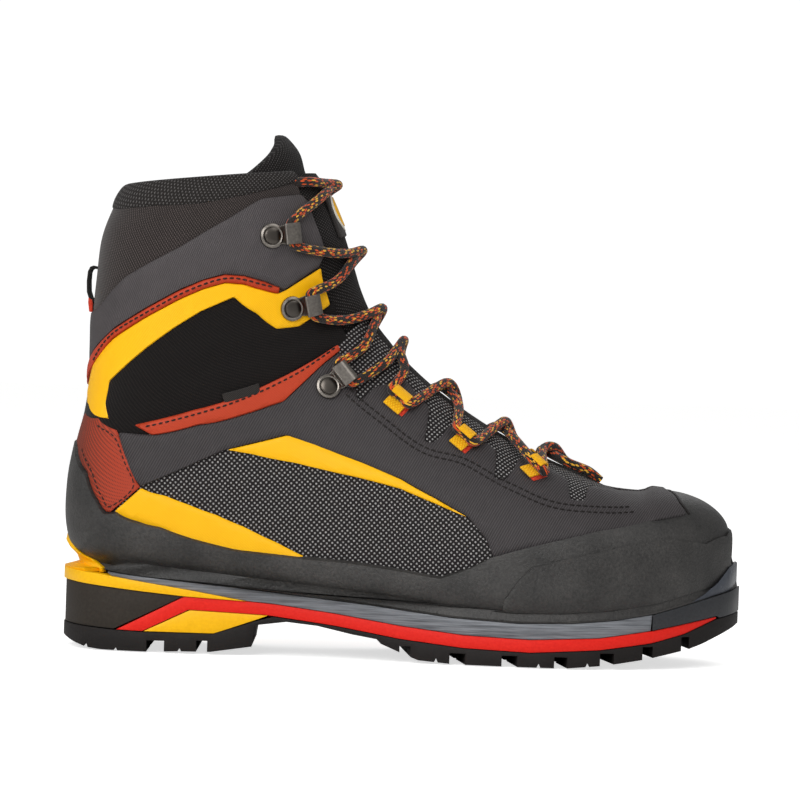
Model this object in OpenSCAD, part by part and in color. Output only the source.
// Right-foot mountaineering boot, toe towards +X, sole on z = 0, lateral side towards -Y.
// The upper is lofted: each cross-section of LAST stands on a line from the bottom or back of
// the boot to its front ridge, and panels are walls between two offsets of that skin.

/* [Overall size] */
// Length of the sole, heel to toe
boot_length = 312; // [260:1:375]
// Height from the ground to the tip of the tongue
boot_height = 236; // [197:1:284]
// Width of the sole across the ball of the foot
ball_width = 108; // [90:1:130]

/* [Upper] */
// Thickness of the outer fabric
shell_t = 1.8; // [1.4:0.1:2.4]
// Thickness of the foam between the fabric and the lining at the ankle
foam_t = 3.6; // [2.8:0.1:4.6]
// Thickness of the toe puff and the heel counter
stiffener_t = 1.4; // [1.1:0.1:1.8]
// Thickness of the waterproof lining
lining_t = 1.2; // [0.9:0.1:1.6]
// Thickness of the bonded film overlays
film_t = 0.9; // [0.6:0.1:1.3]
// Thickness of the rubber rand
rand_t = 2.2; // [1.8:0.1:2.7]
// Bond line between two layers
layer_gap = 0.6; // [0.5:0.05:0.8]
// Seam left between two panels of one layer
seam_gap = 0.8; // [0.6:0.1:1.2]

/* [Sole] */
// Depth of the tread grooves
lug_depth = 5; // [4:0.1:6]
// Rubber left above the grooves at their deepest
sole_web = 1.6; // [1.3:0.1:2]
// Width of the channels along the tread
channel_w = 7; // [5:0.5:9]
// Thickness of the insole board
board_t = 2; // [1.6:0.1:2.4]
// Thickness of the removable footbed
footbed_t = 3.6; // [3:0.1:4.5]
// Clearance between stacked sole layers
sole_gap = 0.3; // [0.2:0.05:0.4]

/* [Lacing] */
// Diameter of the lace
lace_d = 4.4; // [3.6:0.1:5]
// Radius of the hook's round foot
hook_foot_r = 5.5; // [4.5:0.1:6.5]
// Radius of the rivet head
rivet_r = 3.4; // [2.8:0.1:4]
// Width of the hook's arm
hook_w = 7; // [5.8:0.1:8.4]
// Thickness of the hook's metal
hook_t = 1.2; // [1:0.1:1.5]
// Clearance between the lace and the hook or loop round it
lace_gap = 0.35; // [0.3:0.05:0.5]
// Width of the webbing loops
loop_w = 9; // [7.5:0.5:11]
// Width of the pull tab at the back
tab_w = 18; // [15:1:22]
// Height of the pull tab's loop
tab_h = 17; // [14:1:21]

/* [Hidden] */

// Grading from the sample size, which is 312 x 236 x 108.
gx = boot_length / 312;
gy = ball_width / 108;
// The sole keeps its thickness, and only the upper above this height is graded.
sole_line = 40;
gz = (boot_height - sole_line) / (236 - sole_line);
function up(z) = z < sole_line ? z : sole_line + (z - sole_line) * gz;
function at(p) = [p[0] * gx, up(p[1])];

// Sections of the last: bottom or back point (x, z), front ridge point (x, z), half width,
// centre line y, roundness of the front and of the back half, widest place from the bottom
// as a share of the height, and how far the section moves forward with each mm of offset.
LAST = [
    [146.4, 42.0, 147.0, 57.0, 7.5, 6.0, 2.3, 2.6, 0.48, 1.00],
    [144.6, 38.6, 145.6, 63.0, 12.5, 6.0, 2.3, 3.0, 0.45, 0.75],
    [141.0, 36.2, 142.0, 68.0, 18.6, 5.5, 2.3, 3.8, 0.43, 0.50],
    [135.5, 33.8, 136.0, 72.3, 25.6, 5.0, 2.3, 4.6, 0.41, 0.30],
    [127.0, 31.2, 127.5, 75.4, 33.6, 3.8, 2.3, 5.4, 0.40, 0.15],
    [114.0, 28.2, 116.0, 77.0, 41.2, 2.4, 2.3, 6.0, 0.39, 0.05],
    [ 96.0, 25.2,  99.0, 78.6, 46.6, 0.8, 2.3, 6.0, 0.38, 0.00],
    [ 76.0, 23.4,  82.0, 85.0, 49.4, -1.2, 2.2, 6.0, 0.36, 0.00],
    [ 52.0, 22.8,  60.0, 94.0, 49.4, -2.2, 2.1, 6.0, 0.34, 0.00],
    [ 22.0, 24.2,  37.0, 106.0, 45.6, -3.0, 2.0, 6.0, 0.33, 0.00],
    [-12.0, 27.8,  14.0, 121.0, 40.6, -3.2, 2.0, 6.0, 0.33, 0.00],
    [-45.0, 30.8,  -3.0, 135.5, 37.2, -2.6, 2.0, 6.0, 0.35, 0.00],
    [-80.0, 34.0, -10.0, 143.5, 36.6, -1.6, 2.0, 5.6, 0.38, 0.00],
    [-112.0, 36.8, -15.0, 149.5, 37.2, -0.6, 2.0, 5.2, 0.42, 0.00],
    [-135.0, 39.8, -19.0, 156.0, 38.0, 0.0, 2.0, 4.4, 0.46, 0.00],
    [-148.5, 46.0, -22.0, 162.0, 38.3, 0.0, 2.0, 3.6, 0.48, 0.00],
    [-153.3, 58.0, -24.5, 168.0, 38.6, 0.0, 2.0, 3.0, 0.50, 0.00],
    [-153.3, 77.0, -26.5, 174.0, 39.2, 0.0, 2.1, 2.8, 0.50, 0.00],
    [-150.6, 94.0, -28.5, 180.0, 40.2, 0.0, 2.1, 2.7, 0.50, 0.00],
    [-146.6, 112.0, -30.5, 186.0, 41.2, 0.0, 2.2, 2.6, 0.50, 0.00],
    [-145.6, 134.0, -33.0, 193.0, 42.3, 0.0, 2.2, 2.5, 0.50, 0.00],
    [-145.6, 152.0, -36.0, 200.0, 43.0, 0.0, 2.2, 2.4, 0.50, 0.00],
    [-144.3, 169.0, -39.0, 206.5, 43.0, 0.0, 2.2, 2.4, 0.50, 0.00],
    [-142.8, 186.0, -42.0, 212.5, 42.5, 0.0, 2.2, 2.4, 0.50, 0.00],
    [-139.0, 199.0, -44.5, 217.0, 41.8, 0.0, 2.2, 2.4, 0.50, 0.00],
    [-134.0, 211.0, -47.0, 220.5, 41.0, 0.0, 2.2, 2.4, 0.50, 0.00],
    [-130.0, 222.0, -50.0, 229.5, 39.0, 0.0, 2.2, 2.4, 0.50, 0.00],
    [-126.0, 232.0, -57.0, 237.6, 35.0, 0.0, 2.2, 2.4, 0.50, 0.00],
];
collar_u = 25;
SECTIONS = [for (q = LAST)
    [q[0] * gx, up(q[1]), q[2] * gx, up(q[3]), q[4] * gy, q[5] * gy, q[6], q[7], q[8], q[9]]];

// Point on a smooth curve through the rows of P; t counts rows.
function spline(t, P) = let (
    n = len(P) - 1,
    i = max(0, min(n - 1, floor(t))),
    f = t - i,
    a = P[max(0, i - 1)],
    b = P[i],
    c = P[i + 1],
    d = P[min(n, i + 2)]
) b + 0.5 * f * ((c - a) + f * ((2 * a - 5 * b + 4 * c - d) + f * (3 * (b - c) + d - a)));

// Point on a polyline through the rows of P; t counts rows.
function polyline(t, P) = let (i = max(0, min(len(P) - 2, floor(t)))) P[i] + (P[i + 1] - P[i]) * (t - i);

// Radius of a unit superellipse of exponent n towards angle v.
function squircle(v, n) = pow(pow(abs(cos(v)), n) + pow(abs(sin(v)), n), -1 / n);

// Point of the skin, offset d outwards: u counts sections from the toe, v turns round the
// section from the front ridge (0) over the lateral side (90) to the bottom or back (180).
function skin(u, v, d = 0) = let (
    q = spline(u, SECTIONS),
    base = [q[0], q[1]],
    ridge = [q[2], q[3]],
    h = norm(ridge - base),
    e = (ridge - base) / h,
    front = cos(v) >= 0,
    r = squircle(v, front ? q[6] : q[7]),
    s = q[8] * h + ((front ? (1 - q[8]) * h : q[8] * h) + d) * r * cos(v),
    p = base + e * s
) [p[0] + d * q[9], q[5] - (q[4] + d) * r * sin(v), p[1]];

// Section and turn at a place (x, z) seen from the side.
function past(u, p) = let (q = spline(u, SECTIONS))
    (q[2] - q[0]) * (p[1] - q[1]) - (q[3] - q[1]) * (p[0] - q[0]) > 0;
function find_u(p, lo, hi, k = 20) = let (mid = (lo + hi) / 2)
    k == 0 ? mid : past(mid, p) ? find_u(p, mid, hi, k - 1) : find_u(p, lo, mid, k - 1);
function height_on(u, v) = let (q = spline(u, SECTIONS), front = cos(v) >= 0,
    h = norm([q[2] - q[0], q[3] - q[1]]))
    q[8] * h + (front ? 1 - q[8] : q[8]) * h * squircle(v, front ? q[6] : q[7]) * cos(v);
function find_v(u, s, lo, hi, k = 16) = let (mid = (lo + hi) / 2)
    k == 0 ? mid : height_on(u, mid) > s ? find_v(u, s, mid, hi, k - 1) : find_v(u, s, lo, mid, k - 1);
function on_skin(p) = let (
    u = find_u(p, 0, len(SECTIONS) - 1),
    q = spline(u, SECTIONS),
    e = [q[2] - q[0], q[3] - q[1]] / norm([q[2] - q[0], q[3] - q[1]])
) [u, find_v(u, e * [p[0] - q[0], p[1] - q[1]], 0, 180)];
function seam(points) = [for (p = points) on_skin(at(p))];
// The same seam on the medial side, and a seam carried round the back to that side.
function medial(s) = [for (p = s) [p[0], 360 - p[1]]];
function around(s) = concat(s, [for (i = [len(s) - 2:-1:0]) [s[i][0], 360 - s[i][1]]]);
function over(s) = concat([for (i = [len(s) - 1:-1:1]) [s[i][0], -s[i][1]]], s);

// Layers of the upper, as offsets from the skin.
fabric = [-shell_t, 0];
film = [layer_gap, layer_gap + film_t];
rubber = [layer_gap, layer_gap + rand_t];
stiffener = [-shell_t - layer_gap - stiffener_t, -shell_t - layer_gap];
pad_out = -shell_t - layer_gap;
lining_out = -shell_t - 2 * layer_gap;
// The pad is thin over the forefoot and full from the ankle up.
pad_from = 8;
pad_to = 13;
function pad(u) = stiffener_t
    + (foam_t - stiffener_t) * min(1, max(0, (u - pad_from) / (pad_to - pad_from)));

// The flats of two curved walls come this much closer than their curves; it grows with the boot.
flat_sag = 0.25 * gx;

// Grid of skin points between two seams, at offset d, padded where it lies under the foam.
// Rows crowd towards the first seam as crowd rises above 1.
function grid(sa, sb, n, m, d, padded = false, straight = false, crowd = 1) = [for (i = [0:n]) let (
    a = straight ? polyline(i / n * (len(sa) - 1), sa) : spline(i / n * (len(sa) - 1), sa),
    b = straight ? polyline(i / n * (len(sb) - 1), sb) : spline(i / n * (len(sb) - 1), sb)
) [for (j = [0:m]) let (w = a + (b - a) * pow(j / m, crowd))
    skin(w[0], w[1], d - (padded ? pad(w[0]) : 0))]];

// Closed solid between an outer and an inner grid. A ring closes on itself along j, and its
// first row is capped, as at a toe.
module wall(outer, inner, ring = false) {
    n = len(outer);
    m = len(outer[0]);
    i0 = floor((n - 1) / 2);
    j0 = floor((m - 1) / 2);
    p = outer[i0][j0];
    out = cross(outer[i0 + 1][j0] - p, outer[i0][j0 + 1] - p) * (p - inner[i0][j0]) > 0;
    last = ring ? m - 1 : m - 2;
    function id(i, j) = i * m + j % m;
    function under(i, j) = n * m + i * m + j % m;
    quads = concat(
        [for (i = [0:n - 2], j = [0:last]) [id(i, j), id(i, j + 1), id(i + 1, j + 1), id(i + 1, j)]],
        [for (i = [0:n - 2], j = [0:last])
            [under(i, j), under(i + 1, j), under(i + 1, j + 1), under(i, j + 1)]],
        [for (j = [0:last]) [id(n - 1, j), id(n - 1, j + 1), under(n - 1, j + 1), under(n - 1, j)]],
        ring ? [] : [for (j = [0:last]) [id(0, j + 1), id(0, j), under(0, j), under(0, j + 1)]],
        ring ? [] : [for (i = [0:n - 2]) [id(i, 0), id(i + 1, 0), under(i + 1, 0), under(i, 0)]],
        ring ? [] : [for (i = [0:n - 2])
            [id(i + 1, m - 1), id(i, m - 1), under(i, m - 1), under(i + 1, m - 1)]]
    );
    caps = ring ? concat(
        [for (k = [1:m - 2]) [0, k + 1, k]],
        [for (k = [1:m - 2]) [n * m, n * m + k, n * m + k + 1]]
    ) : [];
    faces = concat([for (q = quads) each [[q[0], q[1], q[2]], [q[0], q[2], q[3]]]], caps);
    polyhedron(
        points = concat([for (row = outer) each row], [for (row = inner) each row]),
        faces = out ? faces : [for (f = faces) [f[2], f[1], f[0]]]
    );
}

// Panel between two seams, from offset layer[0] to layer[1].
module panel(sa, sb, n, m, layer, padded = false, straight = false, crowd = 1) {
    wall(grid(sa, sb, n, m, layer[1], padded, straight, crowd),
        grid(sa, sb, n, m, layer[0], padded, straight, crowd));
}

// Cup from the toe to a seam that runs all round the section.
function cup_grid(s, n, m, d, padded) = [for (i = [0:n]) [for (j = [0:m - 1]) let (
    w = spline(j / m * (len(s) - 1), s)) skin(w[0] * i / n, w[1], d - (padded ? pad(w[0] * i / n) : 0))]];
module cup(s, n, m, layer, padded = false) {
    wall(cup_grid(s, n, m, layer[1], padded), cup_grid(s, n, m, layer[0], padded), ring = true);
}

// The ankle flexes between two planes that rise towards the toe. Below the first the boot is
// one rigid body, above the second it is another, and soft pieces fill the space between.
flex_rise = 19;
flex_low = 137;
flex_high = 158;
function flex_z(x, reach) = (reach + x * sin(flex_rise)) / cos(flex_rise);
function flex_seam(reach, xs) = seam([for (x = xs) [x, flex_z(x, reach)]]);
low_edge = flex_seam(flex_low, [-29, -42, -60, -80, -102, -125, -158]);
high_edge = flex_seam(flex_high, [-41, -55, -72, -90, -108, -128, -156]);
low_tongue = flex_seam(flex_low, [-2, -9, -19, -27]);
high_tongue = flex_seam(flex_high, [-14, -23, -31, -39]);
low_ring = concat(low_tongue, low_edge);
high_ring = concat(high_tongue, high_edge);
// The same ring, open by a seam at the front
function open_front(s) = [for (p = s) [p[0], max(p[1], half_seam_v)]];
// A seam as a share of a section, at the ankle and at the forefoot, and as half a turn of the cuff.
flex_seam_u = seam_gap * 0.15;
forefoot_seam_u = seam_gap * 0.06;
half_seam_v = asin(seam_gap / 2 / 40);
function lift(s, du) = [for (p = s) [p[0] + du, p[1]]];

/* Sole */
FOOT = [
    [156, 6], [151.5, -9], [142, -22], [126, -36], [106, -47], [84, -53.5], [58, -55.5],
    [30, -53], [0, -47.5], [-32, -42], [-64, -39], [-96, -39], [-122, -38.5], [-142, -31],
    [-152.5, -17], [-156, 0], [-152.5, 17], [-142, 31], [-122, 38], [-96, 37], [-64, 35],
    [-32, 36], [0, 41], [30, 47], [58, 51.5], [84, 52.5], [106, 50], [126, 43.5], [142, 33],
    [151.5, 21], [156, 6]
];
foot_steps = 4;
foot_path = [for (i = [0:(len(FOOT) - 1) * foot_steps - 1]) let (p = spline(i / foot_steps, FOOT))
    [p[0] * gx, p[1] * gy]];
function inset_path(path, k) = let (n = len(path)) [for (i = [0:n - 1]) let (
    t = path[(i + 1) % n] - path[(i + n - 1) % n], u = t / norm(t)) path[i] + k * [u[1], -u[0]]];

// Lines of the sole in side view, toe to heel.
seat_line = [[158, 37.5], [150, 34.6], [141, 32.4], [130, 29.4], [114, 25], [96, 22], [76, 20.2],
    [52, 19.6], [22, 21], [-12, 24.6], [-45, 27.6], [-80, 30.8], [-112, 33.4], [-137, 35.6],
    [-158, 38.4]];
plate_line = [[113, 17.5], [89, 14], [58, 12.5], [28, 13.4], [-1, 16.3], [-30, 20.4], [-58, 23.6],
    [-70, 24.4], [-98, 28.8], [-118, 31.6], [-132, 33.6]];
red_top = [[143.5, 23.2], [128, 20.2], [113, 17.2], [89, 13.7], [58, 12.2], [28, 13.1], [-1, 16],
    [-30, 20.1], [-58, 23.3], [-70, 24.1], [-98.7, 25.3]];
red_low = [[-129, 9.4], [-117.2, 9.2], [-96.4, 19.6], [-61.5, 18.4], [-30, 14.8], [-1, 10.3],
    [28, 7.5], [58, 6.6], [89, 8.5], [113, 11.8], [128, 15.8], [143.5, 22.4]];
tread_top = [[158, 25], [143.5, 22], [128, 15.5], [113, 11.5], [89, 8.2], [58, 6.3], [28, 7.2],
    [-1, 10], [-30, 14.5], [-58, 17.6], [-66, 15.4], [-75, 12.2], [-85, 8.9], [-117, 8.8],
    [-129, 9.1], [-158, 10.7]];
tread_low = [[-158, 6], [-150, 2.6], [-143, 0.6], [-136, 0], [-114, 0], [-100, 0.6], [-86, 0.8],
    [-67.5, 3.8], [-66, 13.6], [-52, 15.6], [-38, 14.4], [-22, 11.2], [-11, 9.6], [-9, 7.6],
    [2, 3.2], [8, 1], [24, 0], [74, 0], [92, 1.6], [111, 4.6], [130, 8.8], [137, 11.2], [158, 20.5]];
function side(points) = [for (p = points) [p[0] * gx, p[1]]];
function drop(points, dz) = [for (p = points) [p[0], p[1] + dz]];
function reverse(points) = [for (i = [len(points) - 1:-1:0]) points[i]];
tread_centre = [for (g = [[-111, 8], [-90, 5], [5, 5], [28, 7], [51, 7], [74, 6], [95, 6.5],
    [114, 5], [132, 4]]) [g[0] * gx, g[1]]];

// Slab of the sole: the side profile, extruded right across and cut to the footprint.
module slab(profile, inset = 0, far = 200) {
    intersection() {
        linear_extrude(height = far) polygon(inset_path(foot_path, inset));
        translate([0, far / 2, 0]) rotate([90, 0, 0]) linear_extrude(height = far) polygon(profile);
    }
}

module outsole() {
    groove_top = 1.5;
    color("#1a1818") difference() {
        slab(concat(side(tread_top), side(tread_low)), 0.8);
        // Grooves across the tread, wider at the ground
        for (g = tread_centre) let (roof = min(ground_at(g[0]) + lug_depth, ceiling_at(g[0]) - sole_web))
            translate([0, 100, 0]) rotate([90, 0, 0]) linear_extrude(height = 200)
                polygon([[g[0] - g[1] / 2 - groove_top, -2], [g[0] + g[1] / 2 + groove_top, -2],
                    [g[0] + g[1] / 2, roof], [g[0] - g[1] / 2, roof]]);
        // Channels along the tread, under the ball and under the heel
        for (y = [-19, 17]) translate([16 * gx, y * gy - channel_w / 2, -1])
            cube([72 * gx, channel_w, 1 + min(lug_depth, ceiling_at(58 * gx) - sole_web)]);
        translate([-138 * gx, -channel_w / 2, -1]) cube([30 * gx, channel_w, 1 + lug_depth]);
    }
}
function line_at(points, x, k = 0) = let (a = points[k], b = points[k + 1])
    (x - a[0]) * (x - b[0]) <= 0 || k == len(points) - 2
        ? a[1] + (b[1] - a[1]) * (x - a[0]) / (b[0] - a[0]) : line_at(points, x, k + 1);
function ground_at(x) = max(0, line_at(side(tread_low), x));
function ceiling_at(x) = line_at(side(tread_top), x);

module heel_block() {
    color("#33302e") slab(side([[-158, 11], [-130.2, 9.8], [-99.6, 25.2], [-98, 25.4], [-158, 30.3]]), 1.2);
}

module midsole() {
    color("#e8291f") slab(concat(side(red_top), side(red_low)), 1);
}

module arch_insert() {
    color("#fcc200") slab(side([[-116, 9.2], [-95.8, 19.2], [-60.6, 18.1], [-66.2, 15.9], [-75, 12.7],
        [-84.6, 9.2]]), 1);
}

module heel_welt() {
    color("#fcb900") slab(side([[-72, 24.5], [-98.7, 25.7], [-158, 30.7], [-158, 35.9], [-137, 33.9],
        [-118, 31.3], [-98, 28.5]]), 0.4);
}

module sole_plate() {
    color("#8b8f92") slab(concat(drop(side([for (p = seat_line) if (p[0] < 113 && p[0] > -133) p]),
        -sole_gap), reverse(side([for (p = plate_line) if (p[0] < 113) p])),
        [[112.4 * gx, 17.5]]), 1.6);
}

module toe_welt() {
    color("#3a3b3d") slab(concat(drop(side([for (p = seat_line) if (p[0] > 113) p]), -sole_gap),
        side([[113.2, 24.6], [113.2, 17.6], [128, 20.5], [143.5, 23.6], [145, 22.8], [158, 25.4]])), 0.8);
}

module toe_bumper() {
    bumper_in = 3.6;
    bumper_t = 1.5;
    color("#565b61") difference() {
        slab(side([[136, 31.3], [141, 32.8], [150, 35.2], [158, 38.1], [158, 47.5], [149, 46]]),
            bumper_in - bumper_t);
        translate([0, 0, -1]) linear_extrude(height = 100) polygon(inset_path(foot_path, bumper_in));
    }
}

// The insole board and the footbed lie inside the lining, above its floor.
board_rise = 13.5;
board_inset = 16.5;
function bed(lift) = drop(side([[128, 28.6], [114, 25], [96, 22], [76, 20.2], [52, 19.6], [22, 21],
    [-12, 26], [-45, 30.2], [-80, 34], [-112, 37], [-127, 38.8]]), lift);

module insole_board() {
    color("#c9b48a") slab(concat(bed(board_rise), reverse(bed(board_rise + board_t))), board_inset);
}

module footbed() {
    low = board_rise + board_t + sole_gap;
    color("#5a5f66") slab(concat(bed(low), reverse(bed(low + footbed_t))), board_inset + 0.5);
}

/* Lower body */
vamp_end = 6.6;

module foot_lining() {
    color("#2c2d30") cup(around(low_ring), 18, 36, [lining_out - lining_t, lining_out], padded = true);
}

module toe_puff() {
    color("#d8cfc0") cup([for (v = [0:30:360]) [4.4, v]], 6, 26, stiffener);
}

module heel_counter() {
    counter_gap = 5.6 * flat_sag;
    counter_top = [[17.3, 180], [16.2, 165], [14.6, 148], [13, 130]];
    color("#d8cfc0") panel(around(reverse(counter_top)), [for (v = [130, 150, 165, 180, 195, 210, 230])
        [12.6, v]], 22, 8, [stiffener[0] - counter_gap, stiffener[1] - counter_gap]);
}

module vamp() {
    color("#403d3e") cup([for (v = [0:30:360]) [vamp_end, v]], 9, 34, fabric);
}

quarter_from = vamp_end + forefoot_seam_u;
module quarter(s) {
    sb = [for (v = [13, 38, 62, 88, 120, 150, 179.4]) [quarter_from, v]];
    edge = [for (p = low_edge) [p[0], min(p[1], 179.4)]];
    panel(s > 0 ? edge : medial(edge), s > 0 ? sb : medial(sb), 18, 15, fabric, crowd = 1.3);
}

module quarter_lateral() {
    color("#191616") quarter(1);
}

module quarter_medial() {
    color("#191616") quarter(-1);
}

// Film over the quarter: its throat edge is cut into tabs between the lace loops.
overlay_top = [[113, 76.8], [97, 77.5], [83.5, 80], [80.7, 74], [74.5, 74.4], [73, 82.6], [55.2, 92.4],
    [48.6, 89.5], [44.4, 82], [39.6, 83], [40.3, 94.8], [22.8, 105.4], [17, 104.4], [11.4, 97.5],
    [7.3, 98.3], [9, 112.4], [-2.7, 123.6], [-10.7, 121.8], [-15.6, 120.2], [-22.6, 114.6],
    [-26, 123.4], [-34, 130.4], [-44, 125], [-57, 113], [-71, 107.6], [-95, 101.6], [-117, 95.8],
    [-130, 97.4]];
overlay_low = [[117.5, 68.2], [108, 66], [98, 64], [90, 62.4], [84, 61], [76, 59.2], [66, 57],
    [57, 55], [49, 53], [42.5, 51], [39, 56.5], [34.5, 62.5], [28, 68], [20, 72], [11, 76.5],
    [2, 81], [-7, 84.6], [-15, 87.6], [-23, 90.4], [-31, 93.2], [-38, 95.6], [-46, 98.2],
    [-55, 100.8], [-64, 98.6], [-75, 95.8], [-90, 89.2], [-105, 82.6], [-120.4, 75.8]];
module overlay(s) {
    a = seam(overlay_top);
    b = seam(overlay_low);
    panel(s > 0 ? a : medial(a), s > 0 ? b : medial(b), 2 * (len(a) - 1), 4, film, straight = true);
}

module overlay_lateral() {
    color("#4a4648") overlay(1);
}

module overlay_medial() {
    color("#4a4648") overlay(-1);
}

module upper_flash(s) {
    a = seam([[-79, 93], [-55, 98.8], [-30, 90.5], [-3, 80.4], [14, 72.5], [27, 66.2]]);
    b = seam([[-79, 92], [-55, 88], [-30, 83.4], [-3, 77.8], [14, 72], [27, 65.6]]);
    panel(s > 0 ? a : medial(a), s > 0 ? b : medial(b), 12, 2, film);
}

module upper_flash_lateral() {
    color("#fcc200") upper_flash(1);
}

module upper_flash_medial() {
    color("#fcc200") upper_flash(-1);
}

module lower_flash(s) {
    a = seam([[-119, 73.4], [-98, 67], [-72, 58], [-58, 52.4], [-44, 46.8]]);
    b = seam([[-130, 63.4], [-108, 57.4], [-78, 49.4], [-61, 47], [-44, 46.2]]);
    panel(s > 0 ? a : medial(a), s > 0 ? b : medial(b), 12, 2, film);
}

module lower_flash_lateral() {
    color("#fcc200") lower_flash(1);
}

module lower_flash_medial() {
    color("#fcc200") lower_flash(-1);
}

module ankle_band(s) {
    a = seam([[-122, 102], [-97, 109], [-72, 116.6], [-56, 124]]);
    b = seam([[-115, 98.8], [-95, 102.8], [-71.4, 109], [-55.4, 116.6]]);
    panel(s > 0 ? a : medial(a), s > 0 ? b : medial(b), 10, 2, film);
}

module ankle_band_lateral() {
    color("#cf4a30") ankle_band(1);
}

module ankle_band_medial() {
    color("#cf4a30") ankle_band(-1);
}

// The rand wraps the boot above the sole, in a toe piece, two side pieces and a heel piece.
toe_rand_end = 5.0;
module toe_rand() {
    color("#3d3b39") cup([for (v = [0:30:360]) [toe_rand_end - 0.3 * cos(v), v]], 8, 34, rubber);
}

rand_low_v = 152;
module side_rand(s) {
    a = seam([[118, 66.4], [110.9, 65], [86.9, 60.2], [56.6, 53], [41, 49], [30.8, 43.6], [16.8, 38.6],
        [-1.6, 41.4], [-23.7, 44], [-43, 44.8], [-75, 46.6], [-109, 55.4], [-129.6, 61.4]]);
    b = [for (i = [0:len(a) - 1]) [toe_rand_end + 0.32 + 9.1 * i / (len(a) - 1), rand_low_v]];
    panel(s > 0 ? a : medial(a), s > 0 ? b : medial(b), 36, 8, rubber);
}

module side_rand_lateral() {
    color("#3d3b39") side_rand(1);
}

module side_rand_medial() {
    color("#3d3b39") side_rand(-1);
}

module heel_rand() {
    a = seam([[-130.6, 60.6], [-135.6, 62], [-139, 68], [-145, 80], [-149.6, 91], [-160, 93]]);
    b = [for (v = [rand_low_v, 155, 160, 166, 173, 180]) [14.55, v]];
    color("#3d3b39") panel(around(a), around(b), 26, 7, rubber);
}

module tongue_foot() {
    a = [for (p = low_tongue) [p[0], p[1]]];
    b = [for (v = [0, 4, 8, 11.5]) [quarter_from + 2 * forefoot_seam_u, v]];
    color("#1d1a1a") panel(over(a), over(b), 12, 8, fabric);
}

/* Flexing pieces between the two bodies */
module ankle_gusset() {
    color("#171310") panel(around(lift(low_edge, flex_seam_u)), around(lift(high_edge, -flex_seam_u)),
        30, 3, fabric);
}

module flex_lining() {
    a = around(open_front(lift(low_ring, flex_seam_u)));
    b = around(open_front(lift(high_ring, -flex_seam_u)));
    color("#2c2d30") panel(a, b, 36, 3, [lining_out - lining_t, lining_out], padded = true);
}

module tongue_flex() {
    color("#1d1a1a") panel(over(lift(low_tongue, flex_seam_u)), over(lift(high_tongue, -flex_seam_u)),
        10, 3, fabric);
}

module heel_flex_panel() {
    a = seam([[-130.2, 98.4], [-133, 100], [-139, 104], [-146, 108], [-160, 109]]);
    b = seam([[-131.4, 96], [-134, 96.6], [-140, 97], [-147, 97.4], [-160, 98]]);
    color("#b8452e") panel(around(a), around(b), 18, 2, film);
}

/* Cuff */
cuff_front_v = 40;
band_u = 23.9;
cuff_top_u = band_u - seam_gap * 0.075;
module cuff_panel(layer, top, n, m, padded = false) {
    b = [for (v = [cuff_front_v, 62, 88, 112, 136, 160, 180]) [top, v]];
    panel(around(high_edge), around(b), n, m, layer, padded);
}

module cuff_shell() {
    color("#231e1d") cuff_panel(fabric, cuff_top_u, 32, 7);
}

module cuff_foam() {
    color("#b7b09c") cuff_panel([pad_out - foam_t + flat_sag, pad_out], cuff_top_u, 32, 5);
}

module cuff_lining() {
    a = around(open_front(high_ring));
    b = around(open_front([for (v = [0, 12, 24, 36, 44, 62, 88, 112, 136, 160, 180]) [cuff_top_u, v]]));
    color("#2c2d30") panel(a, b, 36, 5, [lining_out - lining_t, lining_out], padded = true);
}

module collar_band() {
    a = around([for (v = [cuff_front_v, 62, 88, 112, 136, 160, 180]) [band_u, v]]);
    b = around([for (v = [cuff_front_v, 62, 88, 112, 136, 160, 180]) [collar_u, v]]);
    color("#47433f") panel(a, b, 32, 2, [pad_out - foam_t, layer_gap]);
}

module cuff_overlay() {
    a = seam([[-51, 207.4], [-70, 205.6], [-84, 196.4], [-105, 183], [-130, 168.4], [-141, 155.2],
        [-160, 148]]);
    b = seam([[-42, 183], [-56, 168], [-78, 172], [-104, 164.8], [-128, 150.4], [-142, 135.5],
        [-160, 122]]);
    color("#4a4648") panel(around(a), around(b), 36, 5, film);
}

module cuff_piping() {
    a = seam([[-56, 166], [-66, 168], [-78, 170.6], [-104, 163.6], [-128, 149.3], [-142, 134.4],
        [-160, 120.8]]);
    b = seam([[-56, 164], [-66, 165.8], [-78, 167.4], [-103, 160.2], [-127, 145.6], [-141, 130.6],
        [-160, 117]]);
    color("#cf4a30") panel(around(a), around(b), 30, 1, film);
}

module cuff_flash(s) {
    a = seam([[-43.5, 172.5], [-56, 163], [-66, 164.8], [-78, 166.4], [-103, 159.2], [-126, 144.4],
        [-138, 131]]);
    b = seam([[-40.5, 158], [-52, 154], [-64, 157], [-80.6, 161.4], [-95, 154.6], [-118.8, 137.2],
        [-133, 121.5]]);
    panel(s > 0 ? a : medial(a), s > 0 ? b : medial(b), 18, 2, film);
}

module cuff_flash_lateral() {
    color("#fcc200") cuff_flash(1);
}

module cuff_flash_medial() {
    color("#fcc200") cuff_flash(-1);
}

// The tongue runs up between the front edges of the cuff, and its top leans in over them.
module tongue_shaft() {
    b = [for (v = [0, 13, 26, cuff_front_v - 1.5]) [24.6, v]];
    color("#1d1a1a") panel(over(high_tongue), over(b), 12, 8, fabric);
}

lip_in = [lining_out - lining_t - layer_gap - 3, lining_out - lining_t - layer_gap];
module tongue_top() {
    a = over([for (v = [0, 20, 40, 58, 74]) [23.2, v]]);
    b = over([[26.9, 0], [26.7, 20], [26.2, 40], [25.5, 58], [24.7, 74]]);
    color("#47433f") panel(a, b, 16, 6, lip_in, padded = true);
}

module tongue_label() {
    a = over([for (v = [0, 12]) [19.6, v]]);
    b = over([for (v = [0, 12]) [22.8, v]]);
    color("#f2b705") panel(a, b, 6, 6, [layer_gap, layer_gap + 0.8]);
}

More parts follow.
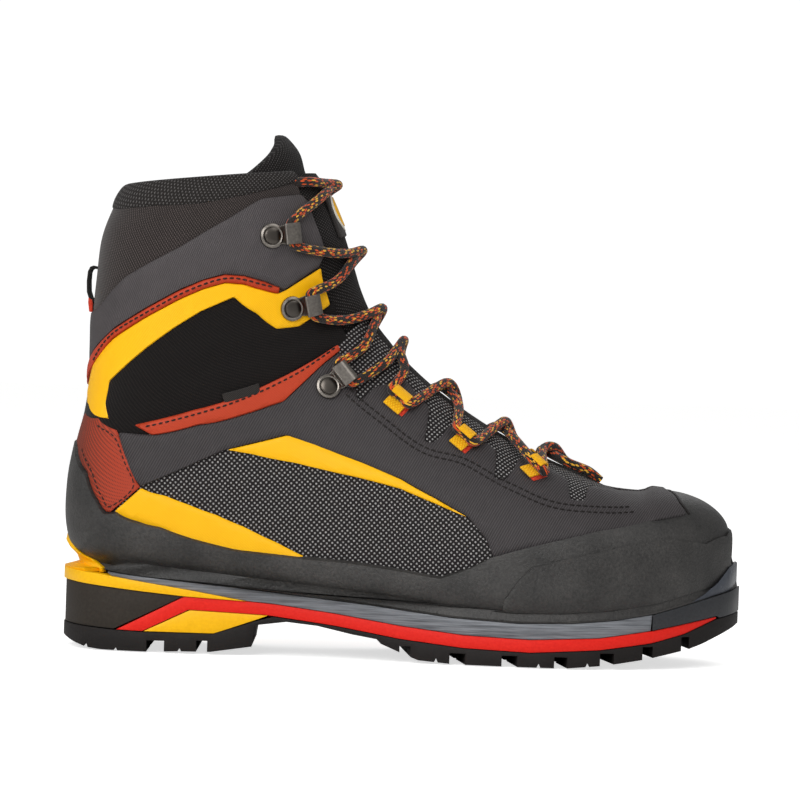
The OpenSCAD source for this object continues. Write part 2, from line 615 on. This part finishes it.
/* Hardware: each piece is drawn flat, its front along +X and its foot on z = 0 */
function normal_at(u, v) = let (
    a = skin(u + 0.05, v) - skin(u - 0.05, v),
    b = skin(u, v + 1) - skin(u, v - 1),
    c = cross(a, b)
) c / norm(c);
// Frame on the skin at the side-view place p: origin, forward, sideways and outward, with
// forward turned up by an angle and the origin lifted by d.
function frame_at(p, s, turn, d) = let (
    w = on_skin(at(p)),
    v = s > 0 ? w[1] : 360 - w[1],
    n = normal_at(w[0], v),
    ahead = [cos(turn), 0, sin(turn)],
    flat = ahead - n * (ahead * n),
    x = flat / norm(flat)
) [skin(w[0], v) + n * d, x, cross(n, x), n];
module on_side(p, s, turn, d) {
    f = frame_at(p, s, turn, d);
    multmatrix([for (k = [0:2]) [f[1][k], f[2][k], f[3][k], f[0][k]]]) children();
}
hook_base = layer_gap + film_t + 0.4;
hook_in_r = lace_d / 2 + lace_gap;
hook_out_r = hook_in_r + hook_t;
hook_reach = 9;

// Foot, arm and the curl that holds the lace
module hook() {
    difference() {
        union() {
            cylinder(r = hook_foot_r, h = hook_t, $fn = 40);
            translate([0, -hook_w / 2, 0]) cube([hook_reach, hook_w, hook_t]);
            translate([hook_reach, hook_w / 2, hook_out_r]) rotate([90, 0, 0])
                cylinder(r = hook_out_r, h = hook_w, $fn = 40);
            translate([hook_reach - 4, -hook_w / 2, 2 * hook_out_r - hook_t]) cube([4, hook_w, hook_t]);
        }
        translate([hook_reach, hook_w / 2 + 1, hook_out_r]) rotate([90, 0, 0])
            cylinder(r = hook_in_r, h = hook_w + 2, $fn = 40);
        translate([hook_reach - 8, -hook_w / 2 - 1, hook_t]) cube([8, hook_w + 2, 2 * hook_in_r]);
        translate([0, 0, -1]) cylinder(r = rivet_r * 0.45 + 0.05, h = hook_t + 2, $fn = 32);
    }
}
module rivet() {
    translate([0, 0, hook_t + 0.05]) rotate_extrude($fn = 40)
        polygon([[0, 0], [rivet_r, 0], [rivet_r, 0.5], [rivet_r * 0.72, 1.1], [0, 1.3]]);
    translate([0, 0, 0.1]) cylinder(r = rivet_r * 0.45, h = hook_t, $fn = 32);
}
cuff_hooks = [[[-65, 189.5], 8], [[-55, 157.2], 12]];
lock_place = [-37, 122];
lock_turn = 40;

module lace_hooks() {
    color("#8f8a84") for (h = cuff_hooks, s = [1, -1]) on_side(h[0], s, h[1], hook_base) hook();
}

module hook_rivets() {
    color("#a7a29b") for (h = cuff_hooks, s = [1, -1]) on_side(h[0], s, h[1], hook_base) rivet();
}

module lock_hooks() {
    color("#8f8a84") for (s = [1, -1]) on_side(lock_place, s, lock_turn, hook_base) hook();
}

module lock_rivets() {
    color("#a7a29b") for (s = [1, -1]) on_side(lock_place, s, lock_turn, hook_base) rivet();
}

// A webbing loop: a strap folded round the lace, its tails bonded to the film.
loop_t = 1;
loop_places = [[[-5, 116.5], 52], [[24.8, 99.4], 52], [[57.5, 86.4], 48]];
module lace_loop() {
    r = lace_d / 2 + lace_gap;
    translate([0, loop_w / 2, 0]) rotate([90, 0, 0]) linear_extrude(height = loop_w) difference() {
        union() {
            translate([0, r + loop_t]) circle(r = r + loop_t, $fn = 36);
            translate([-7, 0]) square([7, 2 * loop_t]);
        }
        translate([0, r + loop_t]) circle(r = r, $fn = 36);
    }
}

module lace_loops() {
    color("#fcc200") for (q = loop_places, s = [1, -1]) on_side(q[0], s, q[1], hook_base) lace_loop();
}

module pull_tab() {
    strap = 1.2;
    w = on_skin(at([-160, 160]));
    p = skin(w[0], 180, layer_gap + film_t);
    color("#2a2626") translate([p[0] - 3.4, tab_w / 2, p[2] - tab_h / 2]) rotate([90, 0, 0])
        linear_extrude(height = tab_w) difference() {
            polygon([[0.6, 0], [3, 0], [3, tab_h - 1], [2, tab_h], [-1, tab_h], [-1.8, tab_h - 1]]);
            polygon([[1.4, 3 * strap], [3 - strap, 3 * strap], [3 - strap, tab_h - strap - 0.6],
                [2.2 - strap, tab_h - strap], [0, tab_h - strap], [-0.6, tab_h - strap - 0.6]]);
        }
}

/* Lace */
lace_over = layer_gap + film_t + lace_d / 2 + 1.4;
lace_lead = 6;
// Where the lace enters and leaves a channel that is centred out and up from its foot.
function channel(p, s, turn, out, rise, half) = let (f = frame_at(p, s, turn, hook_base),
    c = f[0] + f[1] * out + f[3] * rise) [c - f[2] * half * s, c + f[2] * half * s];
function through_loop(k, s) = channel(loop_places[k][0], s, loop_places[k][1], 0,
    lace_d / 2 + lace_gap + loop_t, loop_w / 2 + lace_lead);
function through_hook(p, s, turn) = channel(p, s, turn, hook_reach, hook_out_r, hook_w / 2 + lace_lead);
// Over the ridge at section u, from side s; the half that starts lateral lies underneath.
function crossing(u, du, s, under, reach = 14) = let (h = lace_over + (under ? 0 : lace_d + 0.4))
    [skin(u - du, s * reach, h - 0.6), skin(u, 0, h), skin(u + du, -s * reach, h - 0.6)];

// Tube along a route.
function across(t) = let (x = cross(t, [0.3, 0.1, 1])) x / norm(x);
module tube(route) {
    sides = 8;
    rings = len(route);
    function ahead(i) = let (t = route[i + 1] - route[i]) t / norm(t);
    ring = [for (i = [0:rings - 1]) let (
        t0 = ahead(max(0, i - 1)) + ahead(min(rings - 2, i)),
        t = t0 / norm(t0),
        a = across(t),
        b = cross(t, a)
    ) [for (k = [0:sides - 1])
        route[i] + lace_d / 2 * (cos(360 * k / sides) * a + sin(360 * k / sides) * b)]];
    polyhedron(
        points = [for (r = ring) each r],
        faces = concat(
            [for (i = [0:rings - 2], k = [0:sides - 1]) each [
                [i * sides + k, (i + 1) * sides + k, (i + 1) * sides + (k + 1) % sides],
                [i * sides + k, (i + 1) * sides + (k + 1) % sides, i * sides + (k + 1) % sides]]],
            [for (k = [1:sides - 2]) [0, k, k + 1]],
            let (e = (rings - 1) * sides) [for (k = [1:sides - 2]) [e, e + k + 1, e + k]]
        )
    );
}

// Each half of the lace crosses the ridge between one place and the next one up.
module foot_lace() {
    color("#2b2320") for (s = [1, -1]) tube(concat(
        [skin(7.0, s * 2.8, lace_over), skin(7.0, s * 12, lace_over), skin(7.2, s * 21, lace_over + 1)],
        crossing(7.75, 0.15, s, s > 0, 9), through_loop(2, -s), crossing(8.7, 0.2, -s, s < 0),
        through_loop(1, s), crossing(9.85, 0.25, s, s > 0), through_loop(0, -s),
        [skin(10.85, -s * 26, lace_over + 1.6)]));
}

module flex_lace() {
    color("#2b2320") for (s = [1, -1]) tube(concat(
        [skin(10.92, -s * 21, lace_over + 1.6)], crossing(11.3, 0.12, -s, s < 0),
        [skin(11.55, s * 32, lace_over + 1.2)], through_hook(lock_place, s, lock_turn),
        [skin(12.9, s * 34, lace_over + 1.6)], crossing(13.7, 0.4, s, s > 0, 18),
        [skin(14.9, -s * 34, lace_over)]));
}

module cuff_lace() {
    wrap_u = 23.3;
    color("#2b2320") {
        for (s = [1, -1]) tube(concat(through_hook(cuff_hooks[1][0], s, cuff_hooks[1][1]),
            [skin(17.3, s * 34, lace_over + 0.6)], crossing(18.2, 0.3, s, s > 0, 16),
            [skin(19.2, -s * 36, lace_over + 1)], through_hook(cuff_hooks[0][0], -s, cuff_hooks[0][1])));
        tube([for (v = [-50:10:50]) skin(wrap_u, v, lace_over)]);
    }
}

outsole();
heel_block();
midsole();
arch_insert();
heel_welt();
sole_plate();
toe_welt();
toe_bumper();
insole_board();
footbed();
foot_lining();
toe_puff();
heel_counter();
vamp();
quarter_lateral();
quarter_medial();
overlay_lateral();
overlay_medial();
upper_flash_lateral();
upper_flash_medial();
lower_flash_lateral();
lower_flash_medial();
ankle_band_lateral();
ankle_band_medial();
toe_rand();
side_rand_lateral();
side_rand_medial();
heel_rand();
tongue_foot();
lace_loops();
lock_hooks();
lock_rivets();
foot_lace();
ankle_gusset();
flex_lining();
heel_flex_panel();
tongue_flex();
flex_lace();
cuff_shell();
cuff_foam();
cuff_lining();
collar_band();
cuff_overlay();
cuff_piping();
cuff_flash_lateral();
cuff_flash_medial();
tongue_shaft();
tongue_top();
tongue_label();
lace_hooks();
hook_rivets();
pull_tab();
cuff_lace();
